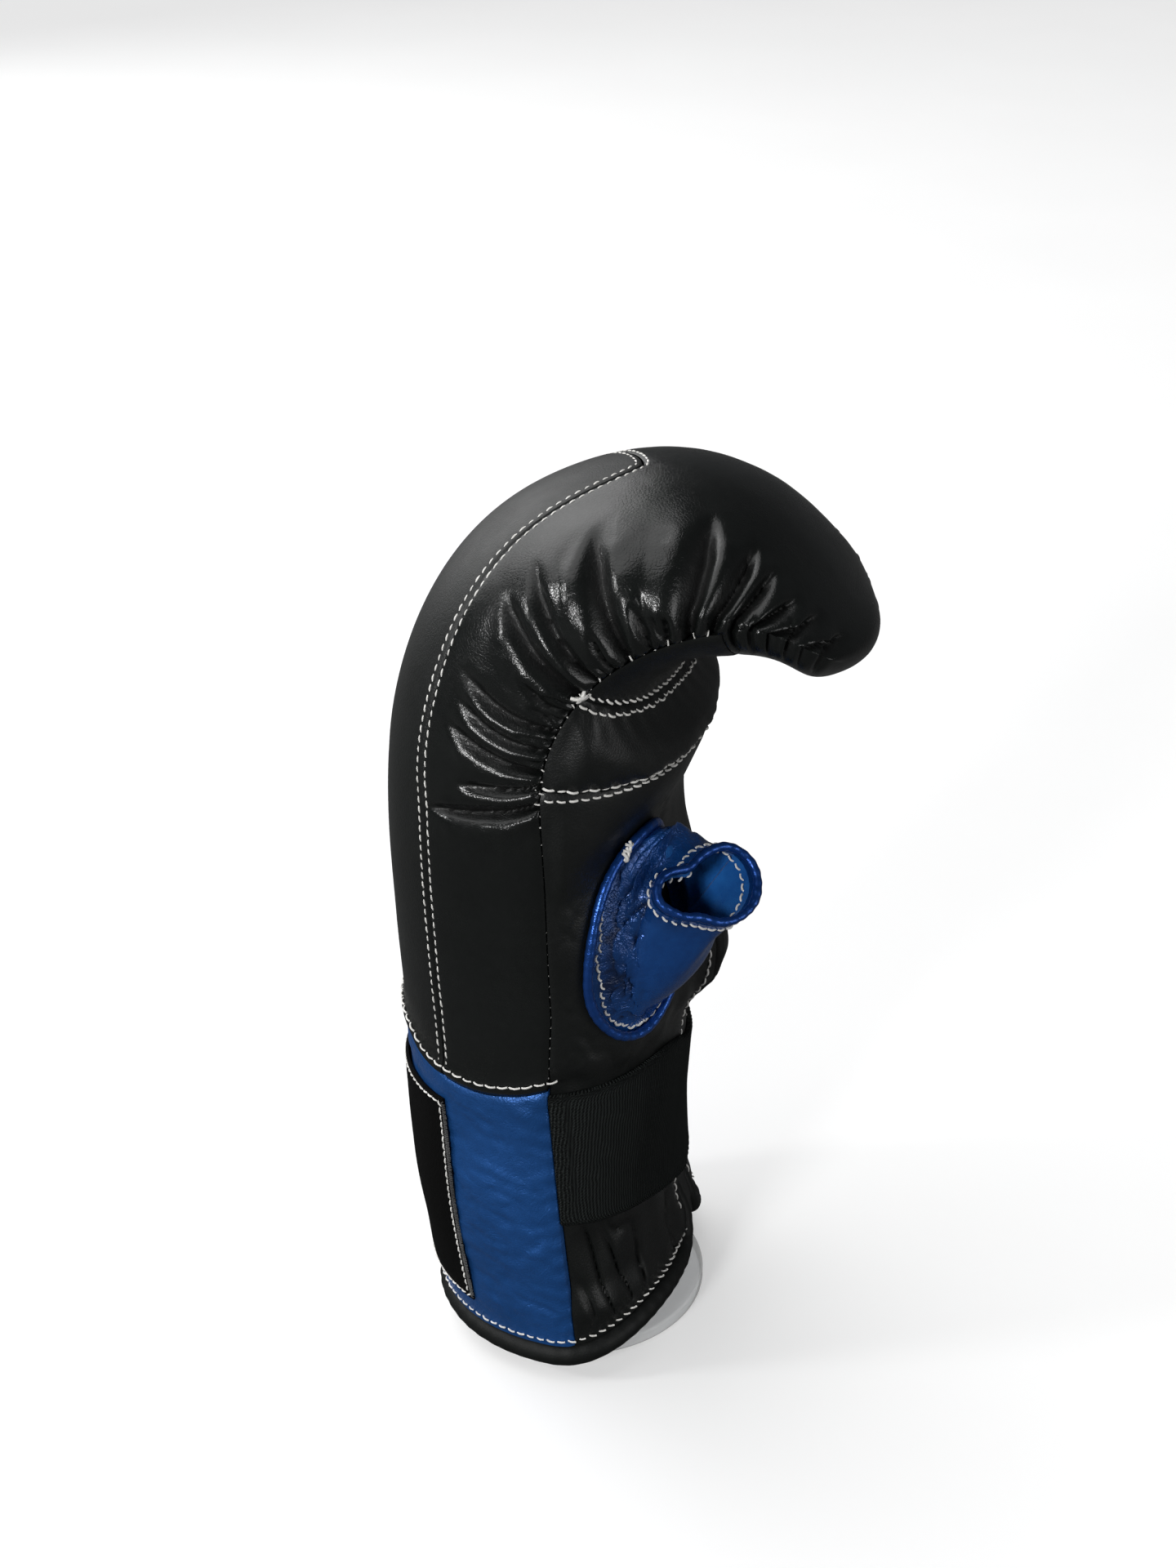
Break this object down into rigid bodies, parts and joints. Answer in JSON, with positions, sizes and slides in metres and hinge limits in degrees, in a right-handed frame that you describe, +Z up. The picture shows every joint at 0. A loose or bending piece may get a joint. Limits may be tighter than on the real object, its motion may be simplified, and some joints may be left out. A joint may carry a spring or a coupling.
{
  "type": "bag glove on a clear stand",
  "caption": "Left-hand boxing bag glove with curled padded fist, gathered gusset, open thumb, slit palm and elastic cuff, upright on a clear stand.",
  "frame": {"origin": "middle of the stand disc's underside, on the surface that it stands on", "axes": "+Z up along the cuff, +X the way the fist curls, -Y the thumb's side"},
  "size_m": [0.1435, 0.115, 0.2911],
  "materials": {
    "black_leather": "smooth semi-gloss cowhide with fine grain and drawn gathers",
    "blue_leather": "blue metallic leather with a soft gloss, crinkled at the thumb",
    "binding": "smooth black leather rolled over the edge",
    "elastic": "black woven elastic with a fine rib",
    "label": "blank black woven patch",
    "clear_acrylic": "clear polished acrylic"
  },
  "bodies": {
    "root": {"back_panel": "black_leather", "side_gusset": "black_leather", "cuff_panel": "blue_leather", "label_patch": "label", "palm_panel": "black_leather", "grip_bar": "black_leather", "finger_panel": "black_leather", "elastic_band": "elastic", "edge_binding": "binding", "thumb_sleeve": "blue_leather", "thumb_welt": "blue_leather", "thumb_mouth_roll": "blue_leather", "stand_base": "clear_acrylic", "stand_tube": "clear_acrylic"}
  },
  "joints": []
}
